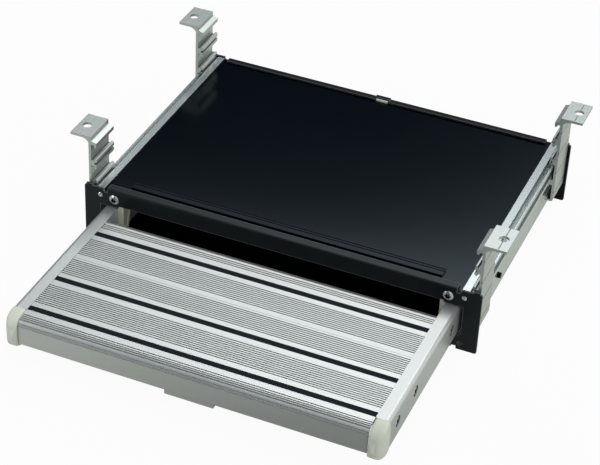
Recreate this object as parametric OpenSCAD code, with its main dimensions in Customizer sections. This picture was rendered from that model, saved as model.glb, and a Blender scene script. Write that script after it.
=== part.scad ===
// Pull out step for a caravan or motorhome door: an aluminium step with black grip strips slides out of a flat
// cassette, which hangs under the floor on four comb brackets. Sizes in mm.
// Drawn with X along the tread, Y from the nose towards the vehicle (0 at the front plate), Z up (0 at the rail tops),
// then moved so that the origin is the middle of the four bolt holes.

/* [Step] */
// clear length of the tread between the two side rails
tread_length = 400; // [360:10:440]
// gap left between the end caps and the front plate when the step is pushed in
stow_gap = 2; // [1:0.5:4]
// depth of the tread from its nose to its rear edge
tread_depth = 199.6; // [180:0.2:220]
// thickness of the tread's top skin
skin = 2.8; // [2.4:0.2:3]
// thickness of the tread's legs and front wall
leg = 2.4; // [2:0.2:3]
// height of the nose face below the rail tops
nose_drop = 32.3; // [31:0.1:33]
// rounding radius of the nose
nose_radius = 10; // [8:0.5:11]
// distance between grooves
groove_pitch = 3.28; // [3.2:0.02:3.3]
// half width of a round-bottomed groove
groove_radius = 0.75; // [0.4:0.05:0.9]
// depth of a groove down to its round bottom's centre
groove_sink = 0.8; // [0.4:0.1:0.9]
// width of a grip strip
strip_width = 7.4; // [6:0.2:8]
// depth of the channel that holds a grip strip
strip_depth = 2.6; // [2:0.2:3]
// how far a grip strip stands above the tread
strip_proud = 0.5; // [0.2:0.1:1]

/* [Side rails] */
// width of a side rail
rail_width = 16.3; // [16:0.1:17]
// height of a side rail
rail_height = 36.3; // [36:0.1:36.5]
// wall thickness of a side rail
rail_wall = 2; // [1.6:0.2:2.2]
// rounding radius of the rail's outer top edge
rail_round = 5; // [3:0.5:5]
// depth below the outer face at which a rail screw's head seats
screw_seat = 4.4; // [4.2:0.1:6]
// radius of a rail screw's head
rail_head_radius = 6.2; // [5.6:0.1:6.4]

/* [Cassette] */
// depth of the cassette from the front plate's face to the rear plate's back
cassette_depth = 331.5; // [331.5:1:350]
// thickness of the folded plates
plate_thickness = 2; // [1.5:0.5:2]
// how far the plates' ears stand out past the guides
ear_overhang = 16.8; // [14:0.2:22]
// thickness of the top and bottom covers
cover_thickness = 1.5; // [1:0.1:1.6]
// thickness of a guide's outer wall
guide_wall = 2.5; // [2:0.1:2.6]
// gap beside a rail inside its guide
side_gap = 5.4; // [5:0.1:6]

/* [Brackets] */
// length of one bracket along the guide
bracket_length = 42.8; // [30:0.2:60]
// front edge of the front brackets
bracket_front = 5; // [3:0.5:30]
// gap between the rear brackets and the rear plate
bracket_gap = 0.7; // [0.7:0.5:60]
// height of the brackets' top face above the rail tops
bracket_top = 85.7; // [85:0.1:95]
// width of the bolted top plate
bracket_reach = 25.8; // [24:0.2:40]
// thickness of the bracket's web and top plate
bracket_wall = 3.2; // [3:0.1:4]
// radius of the bolt hole in the top plate
bolt_radius = 5.6; // [3.3:0.1:6.5]

/* [Handle] */
// length of the release handle along the tread
handle_length = 56.6; // [50:0.2:58]
// radius of the hinge pins
pin_radius = 2; // [1.5:0.1:2]

/* [Hidden] */
$fn = 48;
run = 0.05;          // running clearance of a pin in its bore
ease = 0.15;         // clearance round a fixed insert
glide = 0.4;         // gap of a sliding shoe in its channel

half = tread_length / 2;
tread_top = -0.6;
tread_rear = -27.5;
nose = tread_rear - tread_depth;
joint_y = nose + 129.5;
joint_line = 4.2;
port_z = -18;
port_outer = 4.5;
port_bore = 2.1;
ledge_top = -10;
ledge_end = -12.4;
floor_z = tread_top - strip_depth;
pan_z = floor_z - skin;

strips = [tread_rear - 23.9, nose + 83.4, nose + 24.9];
screw_y = [nose + 44.4, nose + 96.4, tread_rear + 8.6, 60];
// rows of grooves, each with its first Y and its count
mid_start = joint_y + 4.4;
rear_grooves = [tread_rear - 10.9, 3];
mid_grooves = [mid_start, floor((strips[0] - 12 - mid_start) / groove_pitch) + 1];
front_grooves = [nose + 95.1, 9];
fore_grooves = [nose + 37.1, 11];
lip_grooves = [strips[2] - 12.7, 1];

rail_out = half + rail_width;
rail_front = nose + 20.1;
travel = -rail_front - stow_gap;
rail_rear = 113;
cap_front = nose - 2.4;
cap_low = -39;

guide_in = rail_out + side_gap;
guide_out = guide_in + guide_wall;
ear_reach = guide_out + ear_overhang;
guide_top = 22.6;
guide_low = -54.2;
flange = 2.4;
channel_top = 2.2;
channel_low = -37.5;
shelf_top = 20;
shelf = 2.4;
floor_flange = 2;
small_port = [guide_out - 3.3, 14.5];
low_port = [guide_out - 3.3, -48];
big_port = [half + 2.9, 12.9];
guide_front = plate_thickness;
guide_rear = cassette_depth - plate_thickness;
bracket_rear = guide_rear - bracket_gap - bracket_length;

hook_back = guide_out + 6.2;
lip_thick = 2;
lip_play = 0.3;
lip_in = hook_back + lip_play;
lip_out = lip_in + lip_thick;
lip_high = 19.2;
lip_low = -0.8;
arm = 1.6;
slot_high = 14.3;
slot_low = 4.1;
web_in = hook_back + 4;
hook_nose = hook_back - 2.8;
hook_lip = hook_back - 1.9;
pocket = 20.7;
pocket_pitch = 28;
pocket_top = 75.3;
hook_tip = 2.9;

mouth_low = -37;
mouth_wide = guide_in - 0.7;
mouth_high = 2;
mouth_mid = 4.5;
ear_high = 24;
ear_low = -56.3;
fold_high = 24.3;
fold_half = half + 12;
cover_half = guide_in - 5;

pivot_y = nose + 14.3;
pivot_z = -33.5;
knuckle = 3.2;
arm_up = 6;
rod_z = pivot_z + arm_up;
rod_thick = 3;
rod_half = 6;
pawl_y = -22;
rod_tip = 1.5;
rod_play = 0.3;
cheek_in = handle_length / 2 + 3;
cheek = 2.2;
rod_stem = 0.9;
rod_eye = 4;
latch_in = 9.6;
latch_cheek = 2;
latch_pad = 24;
plank_foot = 16;
mid_y = (bracket_front + bracket_rear + bracket_length) / 2;

// colours
aluminium = [0.74, 0.77, 0.75];
black = [0.09, 0.10, 0.11];
rubber = [0.05, 0.05, 0.05];
ivory = [0.74, 0.75, 0.66];
steel = [0.80, 0.80, 0.82];
plastic = [0.82, 0.81, 0.76];

// moves a piece so that the middle of the four bolt holes, on the brackets' top faces, is the origin
module placed() {
    translate([0, -mid_y, -bracket_top])
        children();
}

// a section drawn in X and Z, pushed from y0 to y1
module along_y(y0, y1) {
    translate([0, y1, 0])
        rotate([90, 0, 0])
            linear_extrude(y1 - y0)
                children();
}

// a section drawn in Y and Z, pushed from x0 to x1
module along_x(x0, x1) {
    translate([x0, 0, 0])
        rotate([90, 0, 90])
            linear_extrude(x1 - x0)
                children();
}

// a rectangle from corner to corner
module rect(a, b) {
    translate(a)
        square(b - a);
}

// what a rounding of radius r takes off a corner; s holds the signs that point from the corner into the shape
module corner_cut(at, r, s) {
    difference() {
        translate([at[0] + (s[0] > 0 ? -1 : -r), at[1] + (s[1] > 0 ? -1 : -r)])
            square(r + 1);
        translate([at[0] + s[0] * r, at[1] + s[1] * r])
            circle(r = r);
    }
}

// the left-hand piece from the right-hand one
module left() {
    mirror([1, 0, 0])
        children();
}

// a round pin along X
module pin_x(x0, x1, y, z, r) {
    translate([x0, y, z])
        rotate([0, 90, 0])
            cylinder(h = x1 - x0, r = r);
}

// one round-bottomed groove, cut down from the height 0
module groove(r, sink) {
    translate([0, -sink])
        circle(r = r, $fn = 16);
    rect([-r, -sink], [r, 1]);
}

// a row of grooves in the tread's flat top, from its first Y rearwards
module grooves(row) {
    for (i = [0 : row[1] - 1])
        translate([row[0] + i * groove_pitch, tread_top])
            groove(groove_radius, groove_sink);
}

// the grooves that run on round the nose
module nose_grooves() {
    translate([nose + nose_radius, tread_top - nose_radius])
        for (a = [6, 20.5, 34])
            rotate(a)
                translate([0, nose_radius])
                    groove(groove_radius, groove_sink / 2);
    translate([nose + nose_radius, tread_top - nose_radius])
        for (a = [64, 79])
            rotate(a)
                translate([0, nose_radius])
                    groove(groove_radius * 1.2, 0);
}

// the T-shaped channel that holds a grip strip, centred on y
module strip_channel(y) {
    rect([y - strip_width / 2 - ease, floor_z], [y + strip_width / 2 + ease, tread_top + 1]);
    rect([y - strip_width / 2 - 1.2, floor_z], [y + strip_width / 2 + 1.2, floor_z + 1.1]);
}

// the thicker pan under a grip strip's channel
module strip_pan(y) {
    rect([y - strip_width / 2 - 3, pan_z], [y + strip_width / 2 + 3, tread_top]);
}

// a screw port that runs the length of a plank, hung from the skin on a leg
module port_ring(y) {
    translate([y, port_z])
        circle(r = port_outer);
    rect([y - leg / 2, port_z], [y + leg / 2, tread_top - skin / 2]);
}

module tread_front_profile() {
    color(aluminium) placed()
        along_x(-half, half)
            difference() {
                union() {
                    difference() {
                        rect([nose, -nose_drop], [joint_y, tread_top]);
                        rect([nose + leg, -nose_drop - 1], [joint_y - leg, tread_top - nose_radius]);
                        rect([nose + nose_radius, -nose_drop - 1], [joint_y - leg, tread_top - skin]);
                        translate([nose + nose_radius, tread_top - nose_radius])
                            circle(r = nose_radius - leg);
                        rect([joint_y - leg - 1, -nose_drop - 1], [joint_y + 1, port_z - port_outer]);
                    }
                    rect([nose, -nose_drop], [nose + 9, -nose_drop + leg]);
                    rect([joint_y - 9, port_z - port_outer], [joint_y, port_z - port_outer + 2]);
                    for (y = [strips[1], strips[2]])
                        strip_pan(y);
                    for (y = [screw_y[0], screw_y[1]])
                        port_ring(y);
                }
                difference() {
                    rect([nose - 1, tread_top - nose_radius], [nose + nose_radius, tread_top + 1]);
                    translate([nose + nose_radius, tread_top - nose_radius])
                        circle(r = nose_radius);
                }
                for (y = [strips[1], strips[2]])
                    strip_channel(y);
                for (y = [screw_y[0], screw_y[1]])
                    translate([y, port_z])
                        circle(r = port_bore);
                grooves(front_grooves);
                grooves(fore_grooves);
                grooves(lip_grooves);
                nose_grooves();
                translate([joint_y - joint_line, tread_top])
                    groove(groove_radius / 4, groove_radius / 2);
            }
}

module tread_rear_profile() {
    color(aluminium) placed()
        along_x(-half, half)
            difference() {
                union() {
                    rect([joint_y, tread_top - skin], [tread_rear, tread_top]);
                    rect([joint_y, port_z - port_outer], [joint_y + leg, tread_top]);
                    rect([joint_y, port_z - port_outer], [joint_y + 9, port_z - port_outer + 2]);
                    rect([tread_rear - leg, port_z - port_outer], [tread_rear, tread_top]);
                    rect([tread_rear - plank_foot, port_z - port_outer], [tread_rear, port_z - port_outer + 2]);
                    rect([tread_rear - leg, ledge_top - skin], [ledge_end, ledge_top]);
                    translate([screw_y[2], port_z])
                        circle(r = port_outer);
                    rect([screw_y[2] - leg / 2, port_z], [screw_y[2] + leg / 2, ledge_top]);
                    strip_pan(strips[0]);
                }
                strip_channel(strips[0]);
                translate([screw_y[2], port_z])
                    circle(r = port_bore);
                grooves(rear_grooves);
                grooves(mid_grooves);
            }
}

// a rubber grip strip with a T foot and fine lengthwise ribs on top
module grip_strip(y) {
    color(rubber) placed()
        along_x(-half, half)
            difference() {
                union() {
                    rect([y - strip_width / 2, floor_z], [y + strip_width / 2, tread_top + strip_proud]);
                    rect([y - strip_width / 2 - 1, floor_z], [y + strip_width / 2 + 1, floor_z + 0.95]);
                }
                for (i = [-2 : 2])
                    translate([y + i * strip_width / 5.6, tread_top + strip_proud])
                        circle(r = 0.35, $fn = 12);
            }
}

module grip_strip_front() {
    grip_strip(strips[2]);
}

module grip_strip_middle() {
    grip_strip(strips[1]);
}

module grip_strip_rear() {
    grip_strip(strips[0]);
}

// outer outline of a side rail
module rail_outline() {
    difference() {
        rect([half, -rail_height], [rail_out, 0]);
        difference() {
            rect([rail_out - rail_round, -rail_round], [rail_out + 1, 1]);
            translate([rail_out - rail_round, -rail_round])
                circle(r = rail_round);
        }
    }
}

// height of the rail's two inner webs above and below the screw line
web_step = rail_head_radius + 0.5 + rail_wall / 2;
seat_x = rail_out - screw_seat;

// the rail's three chambers, each set back by c
module rail_chambers(c) {
    difference() {
        rect([half + rail_wall + c, port_z + web_step + rail_wall / 2 + c],
             [rail_out - rail_wall - c, -rail_wall - c]);
        difference() {
            rect([rail_out - rail_round, -rail_round], [rail_out + 1, 1]);
            translate([rail_out - rail_round, -rail_round])
                circle(r = rail_round - rail_wall - c);
        }
    }
    rect([half + rail_wall + c, -rail_height + rail_wall + c],
         [rail_out - rail_wall - c, port_z - web_step - rail_wall / 2 - c]);
}

module rail_right() {
    color(aluminium) placed()
        difference() {
            along_y(rail_front, rail_rear)
                difference() {
                    rail_outline();
                    rail_chambers(0);
                    rect([half + rail_wall, port_z - web_step + rail_wall / 2],
                         [seat_x - rail_wall, port_z + web_step - rail_wall / 2]);
                    rect([seat_x, port_z - web_step + rail_wall / 2],
                         [rail_out - rail_wall, port_z + web_step - rail_wall / 2]);
                }
            for (y = screw_y) {
                pin_x(seat_x - 0.01, rail_out + 1, y, port_z, rail_head_radius + 0.3);
                pin_x(half - 1, seat_x + 1, y, port_z, port_bore + 0.4);
            }
            pin_x(half - 1, half + rail_wall + 0.5, 12, port_z, 2 + run);
        }
}

module rail_left() {
    left()
        rail_right();
}

// rounding of an end cap's lower front corner, outer front edge and outer lower edge, and its outer side
cap_round = 11;
cap_edge = 11;
cap_under = 8;
cap_out = rail_out + 0.2;

// the moulded end cap's side view
module cap_side() {
    difference() {
        rect([cap_front, cap_low], [rail_front, 0]);
        corner_cut([cap_front, 0], nose_radius, [1, -1]);
        corner_cut([cap_front, cap_low], cap_round, [1, 1]);
        corner_cut([rail_front, cap_low], -cap_low - rail_height, [-1, 1]);
    }
}

module end_cap_right() {
    color(ivory) placed() {
        intersection() {
            along_x(half, cap_out)
                cap_side();
            along_y(cap_front - 1, rail_front + 1)
                difference() {
                    rect([half, cap_low], [cap_out, 0]);
                    corner_cut([cap_out, 0], rail_round, [-1, -1]);
                    corner_cut([cap_out, cap_low], cap_under, [-1, 1]);
                }
            translate([0, 0, cap_low - 1])
                linear_extrude(-cap_low + 2)
                    difference() {
                        rect([half, cap_front], [cap_out, rail_front]);
                        corner_cut([cap_out, cap_front], cap_edge, [-1, 1]);
                    }
        }
        along_y(rail_front - 0.1, rail_front + 9)
            rail_chambers(ease);
    }
}

module end_cap_left() {
    left()
        end_cap_right();
}

// a pan-head screw that ties a rail to the end of a screw port
screw_head = 4.1;
screw_length = 14;

module rail_screw(y) {
    difference() {
        union() {
            intersection() {
                pin_x(seat_x, seat_x + screw_head, y, port_z, rail_head_radius);
                translate([seat_x + screw_head - 2 * rail_head_radius, y, port_z])
                    sphere(r = 2 * rail_head_radius);
            }
            pin_x(half - screw_length, seat_x, y, port_z, port_bore - run);
        }
        translate([seat_x + screw_head / 2, y, port_z])
            rotate([0, 90, 0])
                cylinder(h = screw_head, r = rail_head_radius * 0.42, $fn = 6);
    }
}

module rail_screws_right() {
    color(steel) placed()
        for (y = screw_y)
            rail_screw(y);
}

module rail_screws_left() {
    left()
        rail_screws_right();
}

// half the side of the rear crossbar's square tube
bar_half = 9;

module rear_crossbar() {
    color(aluminium) placed()
        along_x(-half, half)
            translate([screw_y[3], port_z])
                difference() {
                    union() {
                        difference() {
                            square(2 * bar_half, center = true);
                            square(2 * bar_half - 3.6, center = true);
                        }
                        circle(r = port_outer);
                        square([2 * bar_half - 1, 2], center = true);
                    }
                    circle(r = port_bore);
                }
}

// side of the rear shoe that runs along the guide's wall
shoe_out = guide_in - glide;
lug_front = 95;
lug_low = -20;
shoe_rear = rail_rear + 6;

module rear_shoe_right() {
    color(plastic) placed() {
        along_y(rail_rear, shoe_rear)
            union() {
                rect([half + 0.3, channel_low + 0.3], [rail_out + 0.2, channel_top - glide]);
                rect([rail_out, lug_low], [shoe_out, -rail_round]);
            }
        along_y(rail_rear - 9, rail_rear + 0.1)
            rail_chambers(ease);
        along_y(lug_front, rail_rear + 0.1)
            rect([rail_out + 0.2, lug_low], [shoe_out, -rail_round]);
    }
}

module rear_shoe_left() {
    left()
        rear_shoe_right();
}

// a block on the rail's inner side that steers the rail past the front plate
module guide_block_right() {
    color(plastic) placed() {
        difference() {
            along_x(half - 6.8, half)
                polygon([[3, -35], [15, -35], [25, 0], [25, 3.9], [3, 3.9]]);
            along_x(half - 7, half - 4.8)
                polygon([[5.5, -32.5], [13, -32.5], [22, 0], [22, 1.4], [5.5, 1.4]]);
        }
        pin_x(half - 0.5, half + rail_wall, 12, port_z, 2);
    }
}

module guide_block_left() {
    left()
        guide_block_right();
}

// two cheeks on a base under the front strip's pan carry the handle's pin
module handle_bracket() {
    color(steel) placed() {
        for (s = [-1, 1])
            scale([s, 1, 1])
                along_x(cheek_in, cheek_in + cheek)
                    difference() {
                        union() {
                            rect([pivot_y - 3.4, pivot_z], [pivot_y + 3.4, pan_z]);
                            rect([pivot_y - 3.4, pan_z - 9], [strips[2] + 6, pan_z]);
                            translate([pivot_y, pivot_z])
                                circle(r = 3.4);
                        }
                        translate([pivot_y, pivot_z])
                            circle(r = pin_radius + 0.02);
                    }
        along_x(-cheek_in - cheek, cheek_in + cheek)
            rect([pivot_y - 3.4, pan_z - 2], [strips[2] + 6, pan_z]);
    }
}

module handle_pin() {
    color(steel) placed()
        pin_x(-cheek_in - cheek, cheek_in + cheek, pivot_y, pivot_z, pin_radius);
}

// front and underside of the release handle
handle_front = nose + 2.6;
handle_low = -40;
handle_wall = 2;

// the finger pull's extruded section, with its knuckle
module handle_section() {
    difference() {
        union() {
            rect([handle_front, handle_low], [handle_front + handle_wall, -nose_drop - 0.5]);
            rect([handle_front, handle_low], [pivot_y + 1.2, handle_low + handle_wall]);
            rect([pivot_y - 0.8, handle_low], [pivot_y + 1.2, pivot_z]);
            translate([pivot_y, pivot_z])
                circle(r = knuckle);
        }
        translate([pivot_y, pivot_z])
            circle(r = pin_radius + run);
    }
}

module release_handle() {
    color(aluminium) placed() {
        along_x(-handle_length / 2, handle_length / 2)
            handle_section();
        difference() {
            along_x(-2.5, 2.5)
                union() {
                    rect([pivot_y - rod_stem, pivot_z], [pivot_y + rod_stem, rod_z]);
                    translate([pivot_y, rod_z])
                        circle(r = rod_tip);
                }
            pin_x(-3, 3, pivot_y, pivot_z, pin_radius + run);
        }
    }
}

// a flat rod with an eye at each end joins the handle to the latch
module release_rod() {
    color(steel) placed()
        difference() {
            translate([-rod_half, pivot_y - rod_eye, rod_z - rod_thick / 2])
                cube([2 * rod_half, pawl_y - pivot_y + 2 * rod_eye, rod_thick]);
            for (y = [pivot_y, pawl_y])
                translate([-3.2, y - rod_tip - rod_play, rod_z - rod_thick])
                    cube([6.4, 2 * (rod_tip + rod_play), 2 * rod_thick]);
        }
}

// latch cheeks on a base under the rear plank's foot
module latch_bracket() {
    color(steel) placed() {
        for (s = [-1, 1])
            scale([s, 1, 1])
                along_x(latch_in, latch_in + latch_cheek)
                    difference() {
                        union() {
                            rect([tread_rear - plank_foot, port_z - port_outer - 6],
                                 [tread_rear, port_z - port_outer]);
                            rect([pawl_y - 8, pivot_z], [pawl_y + 3.4, port_z - port_outer - 2]);
                            translate([pawl_y, pivot_z])
                                circle(r = 3.4);
                        }
                        translate([pawl_y, pivot_z])
                            circle(r = pin_radius + 0.02);
                    }
        along_x(-latch_pad / 2, latch_pad / 2)
            rect([tread_rear - plank_foot, port_z - port_outer - 1.5], [tread_rear, port_z - port_outer]);
    }
}

module latch_pin() {
    color(steel) placed()
        pin_x(-latch_in - latch_cheek, latch_in + latch_cheek, pawl_y, pivot_z, pin_radius);
}

// the foot that drops in front of the plate
foot_front = -8;
foot_rear = -1.2;
foot_low = mouth_low + 0.5;

module latch_pawl() {
    color(steel) placed() {
        difference() {
            along_x(-4, 4)
                union() {
                    translate([pawl_y, pivot_z])
                        circle(r = knuckle);
                    polygon([[pawl_y, pivot_z - 0.5], [foot_front, pivot_z - 0.5], [foot_front, foot_low],
                             [foot_rear, foot_low], [foot_rear, pivot_z + knuckle], [pawl_y, pivot_z + knuckle]]);
                }
            pin_x(-5, 5, pawl_y, pivot_z, pin_radius + run);
        }
        difference() {
            along_x(-2.5, 2.5)
                union() {
                    rect([pawl_y - rod_stem, pivot_z], [pawl_y + rod_stem, rod_z]);
                    translate([pawl_y, rod_z])
                        circle(r = rod_tip);
                }
            pin_x(-3, 3, pawl_y, pivot_z, pin_radius + run);
        }
    }
}

// coil round the latch pin: wire, coil radius, pitch and turns
wire = 0.4;
coil = 2.9;
coil_pitch = 1.3;
coil_turns = 3;
coil_steps = 14;
function coil_at(i) =
    [4.6 + wire + coil_pitch * i / coil_steps,
     pawl_y + coil * cos(360 * i / coil_steps),
     pivot_z + coil * sin(360 * i / coil_steps)];

module latch_spring() {
    color(steel) placed()
        for (i = [0 : coil_steps * coil_turns - 1])
            hull() {
                translate(coil_at(i))
                    sphere(r = wire, $fn = 8);
                translate(coil_at(i + 1))
                    sphere(r = wire, $fn = 8);
            }
}

// a screw port ring of a guide
module guide_port(at, r) {
    translate(at)
        circle(r = r);
}

// the guide's extruded section: rail channel, cover shelves and the outward T rail
module guide_section() {
    difference() {
        union() {
            rect([guide_in, guide_low], [guide_out, guide_top]);
            rect([cover_half + 0.3, guide_top - flange], [guide_out + 1.3, guide_top]);
            rect([half - 4, shelf_top - shelf], [guide_in + 1, shelf_top]);
            rect([half + 1, channel_top], [guide_in + 1, channel_top + 2]);
            rect([half + 1, channel_low - 2], [guide_in + 1, channel_low]);
            rect([half + 6, guide_low], [guide_in + 1, guide_low + floor_flange]);
            rect([big_port[0] - 1, channel_top + 1], [big_port[0] + 1, big_port[1]]);
            guide_port(big_port, 5.4);
            guide_port(small_port, 3.3);
            guide_port(low_port, 3.3);
            rect([guide_out - 1, slot_high], [lip_out, slot_high + arm]);
            rect([guide_out - 1, slot_low - arm], [lip_out, slot_low]);
            rect([lip_in, slot_high], [lip_out, lip_high]);
            rect([lip_in, lip_low], [lip_out, slot_low]);
        }
        guide_port(big_port, 2.6);
        guide_port(small_port, 1.7);
        guide_port(low_port, 1.7);
        for (i = [0 : 2])
            translate([guide_out + 1.9 + i * 1.5, slot_high + arm])
                circle(r = 0.5, $fn = 12);
    }
}

// where the side screw and the stop's screw cross the guide's wall
pad_y = 119;
pad_z = -33;
stop_y = 86;
stop_z = -11;
stop_long = 18;
stop_high = 16;

module guide_right() {
    color(aluminium) placed()
        difference() {
            along_y(guide_front, guide_rear)
                guide_section();
            pin_x(guide_in - 1, guide_out + 1, pad_y, pad_z, 2 + run);
            pin_x(guide_in - 1, guide_out + 1, stop_y, stop_z, 2 + run);
        }
}

module guide_left() {
    left()
        guide_right();
}

// the block that stops the rear shoe when the step is out
module stop_block_right() {
    color(plastic) placed()
        difference() {
            translate([rail_out + 0.6, lug_front - lip_play - stop_long, stop_z - stop_high / 2])
                cube([side_gap - 0.6, stop_long, stop_high]);
            pin_x(rail_out, guide_in + 1, stop_y, stop_z, 2 + run);
            pin_x(rail_out, rail_out + 3, stop_y, stop_z, 3.9);
        }
}

module stop_block_left() {
    left()
        stop_block_right();
}

module stop_screws() {
    color(steel) placed()
        for (s = [-1, 1])
            scale([s, 1, 1])
                difference() {
                    union() {
                        pin_x(rail_out + 0.9, rail_out + 3, stop_y, stop_z, 3.7);
                        pin_x(rail_out + 2, guide_out, stop_y, stop_z, 2);
                    }
                    translate([rail_out, stop_y, stop_z])
                        rotate([0, 90, 0])
                            cylinder(h = 2.2, r = 1.5, $fn = 6);
                }
}

// the pad that keeps the rail from rattling in its guide
module side_pad_right() {
    color(plastic) placed()
        difference() {
            translate([rail_out + 0.5, pad_y - 15, channel_low + 0.01])
                cube([side_gap - 0.5, 30, 11]);
            pin_x(rail_out, guide_in + 1, pad_y, pad_z, 2 + run);
        }
}

module side_pad_left() {
    left()
        side_pad_right();
}

module side_pad_screws() {
    color(black) placed()
        for (s = [-1, 1])
            scale([s, 1, 1])
                difference() {
                    union() {
                        pin_x(guide_out, guide_out + 4, pad_y, pad_z, 3.5);
                        pin_x(rail_out + 1.4, guide_out, pad_y, pad_z, 2);
                    }
                    translate([guide_out + 1.8, pad_y, pad_z])
                        rotate([0, 90, 0])
                            cylinder(h = 3, r = 1.7, $fn = 6);
                }
}

// an ear's rounded corner radius, the raised tab and the bend relief
ear_round = 2.5;
relief_in = half + 11;
relief_out = half + 17;

// outline of one plate without its folds: two ears and the wall between them
module plate_outline() {
    difference() {
        union() {
            rect([-ear_reach, ear_low + ear_round], [ear_reach, ear_high - ear_round]);
            for (s = [-1, 1])
                scale([s, 1]) {
                    rect([relief_out, ear_low], [ear_reach - ear_round, ear_high]);
                    for (z = [ear_low + ear_round, ear_high - ear_round])
                        translate([ear_reach - ear_round, z])
                            circle(r = ear_round);
                    rect([ear_reach - 10, ear_high - 1], [ear_reach - 2.5, ear_high + 2.3]);
                }
            rect([-relief_in, ear_low + 1.5], [relief_in, ear_high - 1.5]);
        }
        for (s = [-1, 1])
            scale([s, 1]) {
                rect([relief_in, ear_low - 1], [relief_out, ear_low + 4]);
                rect([fold_half, ear_high - 4.7], [relief_out - 1, ear_high + 1]);
                guide_port([small_port[0], small_port[1]], 2.1);
                guide_port([low_port[0], low_port[1]], 2.6);
                guide_port([big_port[0], big_port[1]], 3.2);
            }
    }
}

// the folded flange at an edge: a wall that turns through a round bend, drawn in Y and Z
module fold(depth, z_out, up) {
    scale([1, up])
        difference() {
            rect([0, up * z_out - 6], [depth, up * z_out]);
            rect([plate_thickness, up * z_out - 7], [depth + 1, up * z_out - plate_thickness]);
            difference() {
                rect([-1, up * z_out - 3], [3, up * z_out + 1]);
                translate([3, up * z_out - 3])
                    circle(r = 3);
            }
        }
}

fold_top_depth = 11;
fold_low_depth = 15;

module front_plate() {
    color(black) placed() {
        along_y(0, plate_thickness)
            difference() {
                plate_outline();
                rect([-fold_half - 0.01, ear_high - 6], [fold_half + 0.01, ear_high + 1]);
                rect([-relief_in - 0.01, ear_low - 1], [relief_in + 0.01, ear_low + 5.9]);
                difference() {
                    rect([-mouth_wide, mouth_low], [mouth_wide, mouth_high]);
                    for (s = [-1, 1])
                        scale([s, 1])
                            difference() {
                                rect([mouth_wide - 3, mouth_low - 1], [mouth_wide + 1, mouth_low + 3]);
                                translate([mouth_wide - 3, mouth_low + 3])
                                    circle(r = 3);
                            }
                }
                rect([-half + 2, mouth_high - 1], [half - 2, mouth_mid]);
            }
        along_x(-fold_half, fold_half)
            union() {
                fold(fold_top_depth, fold_high, 1);
                rect([0, fold_high - 6.5], [plate_thickness, fold_high - 4]);
            }
        along_x(-relief_in, relief_in)
            union() {
                fold(fold_low_depth, ear_low, -1);
                rect([0, ear_low + 4], [plate_thickness, ear_low + 6]);
            }
    }
}

// the rear plate: closed, with its top flange folded forwards over the cover, a raised tab and a notch for the catch
rear_fold = 9.5;
tab_half = 9.5;
tab_proud = 1.7;
catch_half = 7.5;
catch_deep = 2;

module rear_plate() {
    color(black) placed()
        translate([0, cassette_depth, 0])
            scale([1, -1, 1]) {
                along_y(0, plate_thickness)
                    difference() {
                        plate_outline();
                        rect([-fold_half - 0.01, ear_high - 6], [fold_half + 0.01, ear_high + 1]);
                        rect([-relief_in - 0.01, ear_low - 1], [relief_in + 0.01, ear_low + 5.9]);
                    }
                difference() {
                    along_x(-fold_half + 1.5, fold_half - 1.5)
                        union() {
                            fold(rear_fold, fold_high, 1);
                            rect([0, fold_high - 6.5], [plate_thickness, fold_high - 4]);
                        }
                    translate([-catch_half - ease, rear_fold - catch_deep, fold_high - 4])
                        cube([2 * (catch_half + ease), catch_deep + 1, 8]);
                }
                along_x(-tab_half, tab_half)
                    rect([plate_thickness, fold_high - 1], [rear_fold - catch_deep, fold_high + tab_proud]);
                along_x(-relief_in, relief_in)
                    union() {
                        fold(fold_low_depth, ear_low, -1);
                        rect([0, ear_low + 4], [plate_thickness, ear_low + 6]);
                    }
            }
}

// the pale catch in the rear flange's notch, seated on the cover
module rear_catch() {
    color(ivory) placed()
        along_x(-catch_half, catch_half)
            difference() {
                rect([cassette_depth - rear_fold, shelf_top + cover_thickness],
                     [cassette_depth - rear_fold + catch_deep - ease, fold_high]);
                corner_cut([cassette_depth - rear_fold, fold_high], 1, [1, -1]);
            }
}

// a button-head screw with a star socket, its head on the plate's face
module button_screw(r_head, h_head, r_body, length, socket) {
    rotate([90, 0, 0])
        difference() {
            union() {
                intersection() {
                    cylinder(h = h_head, r = r_head);
                    translate([0, 0, h_head - r_head * 1.6])
                        sphere(r = r_head * 1.6);
                }
                translate([0, 0, -length])
                    cylinder(h = length + 0.1, r = r_body);
            }
            translate([0, 0, h_head * 0.25])
                for (a = [0 : 60 : 300])
                    rotate(a)
                        translate([socket * 0.75, 0, 0])
                            cylinder(h = h_head + 1, r = socket * 0.25, $fn = 16);
            translate([0, 0, h_head * 0.25])
                cylinder(h = h_head + 1, r = socket * 0.7, $fn = 24);
        }
}

// fasteners of one plate: s = 1 on the front plate, -1 on the rear plate
module plate_fasteners(at, y, s, r_head, h_head, r_body, length) {
    translate([0, y, 0])
        for (m = [-1, 1])
            translate([m * at[0], 0, at[1]])
                scale([1, s, 1])
                    button_screw(r_head, h_head, r_body, length, r_head * 0.62);
}

big_head = 6;
big_head_height = 3.2;
big_body = 2.6 - run;
big_length = 16;
pin_head = 2.9;
pin_head_height = 1.4;
pin_body = 1.7 - run;
pin_length = 12;

module front_plate_screws() {
    color(steel) placed()
        plate_fasteners(big_port, 0, 1, big_head, big_head_height, big_body, big_length);
}

module front_plate_pins() {
    color(steel) placed()
        plate_fasteners(small_port, 0, 1, pin_head, pin_head_height, pin_body, pin_length);
}

module rear_plate_screws() {
    color(steel) placed()
        plate_fasteners(big_port, cassette_depth, -1, big_head, big_head_height, big_body, big_length);
}

module rear_plate_pins() {
    color(steel) placed()
        plate_fasteners(small_port, cassette_depth, -1, pin_head, pin_head_height, pin_body, pin_length);
}

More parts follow.
